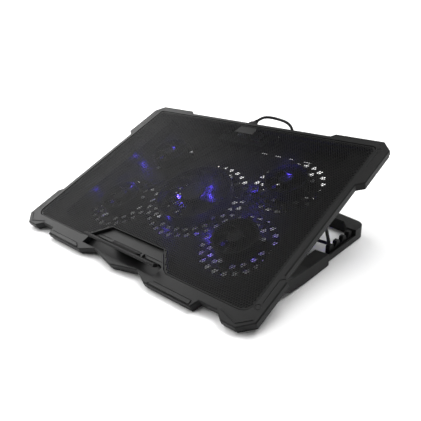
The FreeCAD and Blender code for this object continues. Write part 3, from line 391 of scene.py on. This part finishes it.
def make_plug(node, relief, to_model):
    """A moulding with rounded corners and a finger hollow, and a ribbed relief behind it."""
    wide, high = PLUG_HALF
    # how far along, half width, half height and corner radius
    sections = [
        (0.0, wide - 0.8, high - 0.8, 1.2), (0.3, wide - 0.2, high - 0.2, 1.6), (0.8, wide, high, 1.8),
        (4.5, wide, high, 1.8), (5.1, wide - 0.4, high - 0.3, 1.7), (12.4, wide - 0.4, high - 0.3, 1.7),
        (13.0, wide, high, 1.8), (16.4, wide, high, 2.0), (18.6, wide - 1.6, high, 2.6),
        (19.6, wide - 2.7, high - 0.1, 3.4), (PLUG_LENGTH, 3.9, 3.9, 3.9)]
    ribs = int(relief / RIB_PITCH)
    for rib in range(ribs):
        crest = RELIEF_START + (RELIEF_END - RELIEF_START) * rib / ribs
        groove = crest - RIB_HEIGHT
        place = PLUG_LENGTH + 0.2 + rib * RIB_PITCH
        for step, radius in ((0.0, groove), (0.35, groove), (0.5, crest), (1.25, crest)):
            sections.append((place + step, radius, radius, radius))
    for radius in (RELIEF_END, 0.6):
        sections.append((PLUG_LENGTH + relief, radius, radius, radius))
    points = []
    faces = []
    for place, half_x, half_z, corner in sections:
        ring = rounded_section(half_x, half_z, corner)
        points += [to_model(x, place, z) for x, z in ring]
    count = len(ring)
    for row in range(len(sections) - 1):
        for step in range(count):
            after = (step + 1) % count
            faces.append((row * count + after, row * count + step,
                          (row + 1) * count + step, (row + 1) * count + after))
    faces.append(tuple(range(count)))
    last = len(points) - count
    faces.append(tuple(last + step for step in reversed(range(count))))
    piece = add_piece(node + "_body", points, faces, "tray", "cord")
    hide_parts(node)
    return piece


def at_port(x, y, z):
    return tray(PORT[0] + x, PORT[1] + y, PORT[2] + z)


def at_laptop_plug(x, y, z):
    return Vector((LAPTOP_PLUG[0] + y, LAPTOP_PLUG[1] - x, LAPTOP_PLUG[2] + z)) * MM


# ---------------------------------------------------------------- perforated sheet
SHEET_TOP = -0.8
SHEET_THICK = 0.75
HOLE_PITCH = 3.0
HOLE_SIZE = 2.4                             # across the flats
HOLE_RISE = HOLE_PITCH * math.sqrt(3) / 2   # from row to row
FIRST_ROW = 0.5
CELL_RADIUS = HOLE_PITCH / math.sqrt(3)     # from the middle to the corners
HOLE_RADIUS = HOLE_SIZE / math.sqrt(3)
SHEET_MARGIN = 0.05                         # least gap from a cell to the sheet's edge
SAME_PLACE = 1e-5
SHEET_HALF = 186.0                          # half width and length of the opening for the sheet
SHEET_LENGTH = 264.0
SHEET_STRIPS = 4


def rounded_outline(corners, steps=5):
    """A closed outline; a corner's third value is its radius."""
    outline = []
    for index, (x, y, radius) in enumerate(corners):
        here = Vector((x, y))
        if not radius:
            outline.append(here)
            continue
        back = (Vector(corners[index - 1][:2]) - here).normalized()
        ahead = (Vector(corners[(index + 1) % len(corners)][:2]) - here).normalized()
        half = back.angle(ahead) / 2
        centre = here + (back + ahead).normalized() * radius / math.sin(half)
        start = here + back * radius / math.tan(half) - centre
        end = here + ahead * radius / math.tan(half) - centre
        whole = start.angle_signed(end)
        for step in range(steps + 1):
            swing = Matrix.Rotation(-whole * step / steps, 2)
            outline.append(centre + swing @ start)
    return outline


def sheet_outline():
    half = [(46.8, 27.2, 3), (69.8, 4.2, 4), (76.2, 0.9, 3), (185.1, 0.9, 11.2), (185.1, 263.1, 5)]
    return rounded_outline(half + [(-x, y, radius) for x, y, radius in reversed(half)])


def inside(point, outline):
    hit = False
    for a, b in zip(outline, outline[1:] + outline[:1]):
        if (a.y > point.y) != (b.y > point.y):
            if point.x < a.x + (point.y - a.y) / (b.y - a.y) * (b.x - a.x):
                hit = not hit
    return hit


def distance_to(point, outline):
    nearest = math.inf
    for a, b in zip(outline, outline[1:] + outline[:1]):
        run = b - a
        if run.length_squared < 1e-12:
            continue
        share = min(1.0, max(0.0, (point - a).dot(run) / run.length_squared))
        nearest = min(nearest, (point - a - run * share).length)
    return nearest


def cell_place(row, column):
    """The middle of a cell; every second row is shifted by half a pitch."""
    return Vector((HOLE_PITCH * (column + (row % 2) / 2), FIRST_ROW + HOLE_RISE * row))


def hole_centres(outline):
    """Staggered rows of holes that keep clear of the sheet's edge."""
    centres = []
    clear = CELL_RADIUS + SHEET_MARGIN
    columns = int(SHEET_HALF / HOLE_PITCH) + 1
    for row in range(int(SHEET_LENGTH / HOLE_RISE) + 1):
        for column in range(-columns, columns + 1):
            point = cell_place(row, column)
            if inside(point, outline) and distance_to(point, outline) > clear:
                centres.append(point)
    return centres


def hexagon(centre, radius):
    return [(centre.x + radius * math.sin(math.radians(60 * corner)),
             centre.y + radius * math.cos(math.radians(60 * corner))) for corner in range(6)]


def key_of(point):
    """The point in hundredths of a millimetre, the same for corners that meet."""
    return round(point[0] * 100), round(point[1] * 100)


class Strip:
    """One slice of the sheet: points in pairs, upper and lower, and faces."""

    def __init__(self):
        self.points = []
        self.faces = []
        self.walls = []                     # the faces that are walls of holes
        self.known = {}

    def corner(self, point, shared=True):
        """The numbers of a point's upper and lower vertex."""
        key = key_of(point)
        if shared and key in self.known:
            return self.known[key]
        pair = (len(self.points), len(self.points) + 1)
        self.points.append(tray(point[0], point[1], SHEET_TOP))
        self.points.append(tray(point[0], point[1], SHEET_TOP - SHEET_THICK))
        if shared:
            self.known[key] = pair
        return pair

    def add_cell(self, centre):
        """A six-sided cell with its hole."""
        outer = [self.corner(point) for point in hexagon(centre, CELL_RADIUS)]
        hole = [self.corner(point, shared=False) for point in hexagon(centre, HOLE_RADIUS)]
        for index in range(6):
            after = (index + 1) % 6
            self.faces.append((outer[after][0], outer[index][0], hole[index][0], hole[after][0]))
            self.faces.append((outer[index][1], outer[after][1], hole[after][1], hole[index][1]))
            self.walls.append(len(self.faces))
            self.faces.append((hole[index][0], hole[index][1], hole[after][1], hole[after][0]))


def strip_at(strips, x):
    width = 2 * SHEET_HALF / SHEET_STRIPS
    return strips[min(SHEET_STRIPS - 1, max(0, int((x + SHEET_HALF) / width)))]


def make_sheet():
    """The perforated sheet as strips side by side; rim holds the sides that only one cell has."""
    outline = sheet_outline()
    centres = hole_centres(outline)
    strips = [Strip() for _ in range(SHEET_STRIPS)]
    rim = {}
    for centre in centres:
        strip_at(strips, centre.x).add_cell(centre)
        cell = hexagon(centre, CELL_RADIUS)
        for start, end in zip(cell, cell[1:] + cell[:1]):
            edge = frozenset((key_of(start), key_of(end)))
            if edge in rim:
                del rim[edge]
            else:
                rim[edge] = (start, end)
    fill_margin(outline, rim.values(), centres, strips)
    for number, strip in enumerate(strips, start=1):
        piece = add_piece(f"mesh_sheet_{number}", strip.points, strip.faces, "tray", "mesh",
                          smooth=False)
        # the walls of the holes take the near-black painted shade
        piece.data.materials.append(MATERIALS["hole"])
        for face in strip.walls:
            piece.data.polygons[face].material_index = 1
        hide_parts("mesh_panel")


def fill_margin(outline, rim, centres, strips):
    """The plain band between the outermost cells' sides and the sheet's edge."""
    points = list(outline)
    links = [(index, (index + 1) % len(outline)) for index in range(len(outline))]
    known = {}
    for ends in rim:
        pair = []
        for end in ends:
            key = key_of(end)
            if key not in known:
                known[key] = len(points)
                points.append(Vector(end))
            pair.append(known[key])
        links.append(tuple(pair))
    found, _, triangles, _, _, _ = delaunay_2d_cdt(points, links, [], 0, SAME_PLACE)
    taken = {key_of(centre) for centre in centres}
    for triangle in triangles:
        middle = sum((found[index] for index in triangle), Vector((0, 0))) / 3
        if not inside(middle, outline) or key_of(nearest_cell(middle)) in taken:
            continue
        strip = strip_at(strips, middle.x)
        ends = [strip.corner(found[index]) for index in triangle]
        strip.faces.append(tuple(end[0] for end in ends))
        strip.faces.append(tuple(end[1] for end in reversed(ends)))
    for a, b in zip(outline, outline[1:] + outline[:1]):
        strip = strip_at(strips, (a.x + b.x) / 2)
        first = strip.corner(a)
        second = strip.corner(b)
        strip.faces.append((first[0], first[1], second[1], second[0]))


def nearest_cell(point):
    """The middle of the cell that the point lies in."""
    row_near = round((point.y - FIRST_ROW) / HOLE_RISE)
    places = []
    for row in range(row_near - 1, row_near + 2):
        column = round(point.x / HOLE_PITCH - (row % 2) / 2)
        places += [cell_place(row, near) for near in (column - 1, column, column + 1)]
    return min(places, key=lambda place: (place - point).length)


# ---------------------------------------------------------------- fans
BLADE_LOW = TUB_FLOOR + 3.2
BLADE_RISE = 8.4
BLADE_THICK = 1.1
BLADE_SWEEP = 0.42                          # radians that the tip is ahead of the root
SWEEP_CURVE = 1.3
BLADE_COVER = 0.75                          # share of the full turn that the blades fill
ROOT_CHORD = 0.86                           # a blade's width over that share, at its root
CHORD_GROWTH = 0.22                         # and how much wider it is at its tip
RISE_CURVE = 1.25
RISE_LOSS = 0.16                            # how much flatter it is at its tip
EDGE_THICK = 0.35                           # thickness at its edges over that in its middle
EDGE_SHARE = 0.05                           # share of its width where that thickness holds
ROOT_DEPTH = 0.5                            # how far it reaches into the hub
BLADE_ACROSS = 7                            # cells of a blade's grid, across and along
BLADE_ALONG = 8
TIP_GAP = 3.8                               # from the blades' tips to the ring's outside
HUB_SHARE = 0.34                            # hub radius over ring radius
HUB_TOP = TUB_FLOOR + 13.2
HUB_LOW = TUB_FLOOR + 2.6
HUB_WALL = 1.6
SHAFT_RADIUS = 1.5
AXIS = 0.01                                 # radius of the small ring that closes a turned shape
ROUND = 48                                  # points round a turned shape
SHAFT_ROUND = 16


def lathe(profile, x, y, count=ROUND):
    """Points and faces of a turned shape about an upright axis through x, y."""
    points = []
    faces = []
    for radius, level in profile:
        for step in range(count):
            angle = 2 * math.pi * step / count
            points.append(tray(x + radius * math.cos(angle), y + radius * math.sin(angle), level))
    for ring in range(len(profile) - 1):
        for step in range(count):
            after = (step + 1) % count
            faces.append((ring * count + step, ring * count + after,
                          (ring + 1) * count + after, (ring + 1) * count + step))
    return points, faces


def blade(x, y, hub, tip, start_angle, cover):
    """A swept and twisted blade: a grid of points above and below its middle surface."""
    root = hub - ROOT_DEPTH
    upper = []
    lower = []
    for row in range(BLADE_ALONG + 1):
        outward = row / BLADE_ALONG
        radius = root + (tip - root) * outward
        sweep = BLADE_SWEEP * outward ** SWEEP_CURVE
        chord = cover * (ROOT_CHORD + CHORD_GROWTH * outward)
        for column in range(BLADE_ACROSS + 1):
            across = column / BLADE_ACROSS
            angle = start_angle + sweep + chord * (across - 0.5)
            level = BLADE_LOW + BLADE_RISE * across ** RISE_CURVE * (1.0 - RISE_LOSS * outward)
            place = (x + radius * math.cos(angle), y + radius * math.sin(angle))
            bulge = math.sin(math.pi * min(1.0 - EDGE_SHARE, max(EDGE_SHARE, across)))
            half = BLADE_THICK / 2 * (EDGE_THICK + (1.0 - EDGE_THICK) * bulge)
            upper.append(tray(*place, level + half))
            lower.append(tray(*place, level - half))
    width = BLADE_ACROSS + 1
    total = len(upper)
    faces = []
    for row in range(BLADE_ALONG):
        for column in range(BLADE_ACROSS):
            a = row * width + column
            faces.append((a, a + width, a + width + 1, a + 1))
            faces.append((total + a, total + a + 1, total + a + width + 1, total + a + width))
    rim = (list(range(width))
           + [row * width + BLADE_ACROSS for row in range(1, BLADE_ALONG + 1)]
           + [BLADE_ALONG * width + column for column in range(BLADE_ACROSS - 1, -1, -1)]
           + [row * width for row in range(BLADE_ALONG - 1, 0, -1)])
    for a, b in zip(rim, rim[1:] + rim[:1]):
        faces.append((a, b, total + b, total + a))
    return upper + lower, faces


def hub_profile(hub):
    """Radius and height round the section of a cup-shaped hub with a shallow dish on top."""
    inner = hub - HUB_WALL
    return [
        (hub - 1.4, HUB_LOW), (hub, HUB_LOW), (hub, HUB_TOP - 1.2), (hub - 0.35, HUB_TOP - 0.4),
        (hub - 1.2, HUB_TOP), (hub - 3.0, HUB_TOP), (hub - 3.2, HUB_TOP - 0.4),
        (AXIS, HUB_TOP - 0.4), (AXIS, HUB_TOP - HUB_WALL), (inner, HUB_TOP - HUB_WALL),
        (inner, HUB_LOW), (hub - 1.4, HUB_LOW)]


def shaft_profile():
    high = HUB_TOP - 1.5
    low = HUB_LOW + 0.4
    return [(AXIS, high), (SHAFT_RADIUS, high), (SHAFT_RADIUS, low), (AXIS, low)]


def make_rotors():
    for name, (x, y, ring, blades) in FANS.items():
        hub = HUB_SHARE * ring
        parts = [lathe(hub_profile(hub), x, y), lathe(shaft_profile(), x, y, SHAFT_ROUND)]
        turn_each = 2 * math.pi / blades
        for number in range(blades):
            start = turn_each * number
            parts.append(blade(x, y, hub, ring - TIP_GAP, start, BLADE_COVER * turn_each))
        points = []
        faces = []
        for more_points, more_faces in parts:
            first = len(points)
            points += more_points
            faces += [tuple(first + index for index in face) for face in more_faces]
        piece = add_piece(f"rotor_{name}", points, faces, f"rotor_{name}", "fan")
        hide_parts(f"fan_rotor_{name}")


# ---------------------------------------------------------------- carried-over nodes
DRESSES = {
    "shell": ["top_frame", "stop_flap", "screw_caps"],
    "lower": ["bottom_cover", "prop_clip_left", "prop_clip_right"],
    "stand": ["stand_frame", "rack_left", "rack_right"],
    "trim": ["badge_plate", "front_insert_left", "front_insert_right", "speed_dial", "light_button",
             "light_switch", "dial_pot", "lead_block"],
    "rubber": ["front_foot_left", "front_foot_right", "stand_feet_left", "stand_feet_right"],
    "steel": ["cover_screws", "fan_screws", "usb_socket", "spare_socket", "stand_pin_left",
              "stand_pin_right", "stop_pin", "usb_plug_shell", "laptop_plug_shell"],
    "wire": ["prop_wire"],
    "cord": ["fan_leads"],
    "board": ["control_board"],
    "fan": [f"fan_frame_{name}" for name in FANS],
    "led": [f"leds_{name}" for name in FANS],
}


def dress_nodes():
    for material, names in DRESSES.items():
        for name in names:
            dress(name, material)


# ---------------------------------------------------------------- glow inside the tray
# x, y, strength and height of each soft patch of blue light
GLOWS = [
    (-150, 166, 0.8, -17), (-105, 201, 0.4, -8), (-104, 106, 1.0, -11), (-152, 82, 0.5, -17),
    (-24, 119, 1.1, -21.3), (-29, 124, 1.2, -21.3), (20, 137, 1.4, -11), (24, 129, 1.6, -11),
    (17, 146, 0.8, -11), (-6, 70, 0.35, -18), (58, 83, 1.2, -18), (88, 122, 2.0, -15),
    (60, 173, 0.8, -18), (98, 205, 1.0, -8.5)]
GLOW_POWER = 0.075                          # watts at strength 1
GLOW_COLOUR = (0.10, 0.06, 1.0)
GLOW_SIZE = 0.0025                          # metres


def make_glows():
    for number, (x, y, strength, level) in enumerate(GLOWS):
        data = bpy.data.lights.new(f"glow_{number}", "POINT")
        data.color = GLOW_COLOUR
        data.energy = GLOW_POWER * strength
        data.shadow_soft_size = GLOW_SIZE
        light = bpy.data.objects.new(f"glow_{number}", data)
        light.location = tray(x, y, level)
        scene.collection.objects.link(light)


# ---------------------------------------------------------------- studio
FLOOR_REACH = 20.0                          # metres
FLOOR_SIDES = 48
WALL_HEIGHT = 4.2
WORLD_POWER = 0.1
# name: from where, how strong, how wide in degrees
SUNS = {
    "sun_rear": ((0.15, 0.45, 1.0), 2.3, 45),
    "sun_front": ((-0.35, -0.6, 1.0), 1.4, 60),
}
SIDE_PLACE = (-1.43, 0.08, 1.02)            # of the soft box whose sheen lies on the left of the tray
SIDE_AIM = (0, 0, 0.05)
SIDE_SIZE = 1.6
SIDE_POWER = 32.0


def staged(name, points, faces, material):
    mesh = bpy.data.meshes.new(name)
    mesh.from_pydata(points, [], faces)
    mesh.materials.append(material)
    piece = bpy.data.objects.new(name, mesh)
    scene.collection.objects.link(piece)


def make_floor():
    """A wide round floor, and a low white wall round it that closes the horizon."""
    angles = [2 * math.pi * step / FLOOR_SIDES for step in range(FLOOR_SIDES)]
    ring = [(FLOOR_REACH * math.cos(angle), FLOOR_REACH * math.sin(angle)) for angle in angles]
    paper = Surface("floor_paper", (0.98, 0.98, 0.98), 0.8, Specular_IOR_Level=0.1)
    staged("floor", [(x, y, 0.0) for x, y in ring], [tuple(range(FLOOR_SIDES))], paper.material)
    white = Surface("wall_white", (1.0, 1.0, 1.0), 0.9)
    white.shader.inputs["Emission Color"].default_value = (1.0, 1.0, 1.0, 1.0)
    white.shader.inputs["Emission Strength"].default_value = 1.0
    points = [(x, y, height) for height in (0.0, WALL_HEIGHT) for x, y in ring]
    walls = []
    for step in range(FLOOR_SIDES):
        after = (step + 1) % FLOOR_SIDES
        walls.append((step, after, FLOOR_SIDES + after, FLOOR_SIDES + step))
    staged("far_wall", points, walls, white.material)


def area_light(name, place, target, size, energy):
    data = bpy.data.lights.new(name, "AREA")
    data.shape = "DISK"
    data.size = size
    data.energy = energy
    light = bpy.data.objects.new(name, data)
    light.location = place
    light.rotation_euler = (Vector(target) - Vector(place)).to_track_quat("-Z", "Y").to_euler()
    scene.collection.objects.link(light)


def make_suns():
    for name, (from_where, power, width) in SUNS.items():
        data = bpy.data.lights.new(name, "SUN")
        data.energy = power
        data.angle = math.radians(width)
        light = bpy.data.objects.new(name, data)
        light.rotation_euler = Vector(from_where).to_track_quat("Z", "Y").to_euler()
        scene.collection.objects.link(light)


def make_studio():
    make_floor()
    make_suns()
    world = bpy.data.worlds.new("studio")
    world.use_nodes = True
    world.node_tree.nodes["Background"].inputs["Color"].default_value = (1.0, 1.0, 1.0, 1.0)
    world.node_tree.nodes["Background"].inputs["Strength"].default_value = WORLD_POWER
    scene.world = world
    area_light("side", SIDE_PLACE, SIDE_AIM, SIDE_SIZE, SIDE_POWER)
    scene.view_settings.view_transform = "Standard"
    scene.view_settings.look = "None"


# ---------------------------------------------------------------- put together
make_camera()
lead = make_cord()
plugs = [
    make_plug("usb_plug", NEAR_RELIEF, at_port),
    make_plug("laptop_plug", FAR_RELIEF, at_laptop_plug)]
make_sheet()
make_rotors()
dress_nodes()
make_glows()
make_studio()
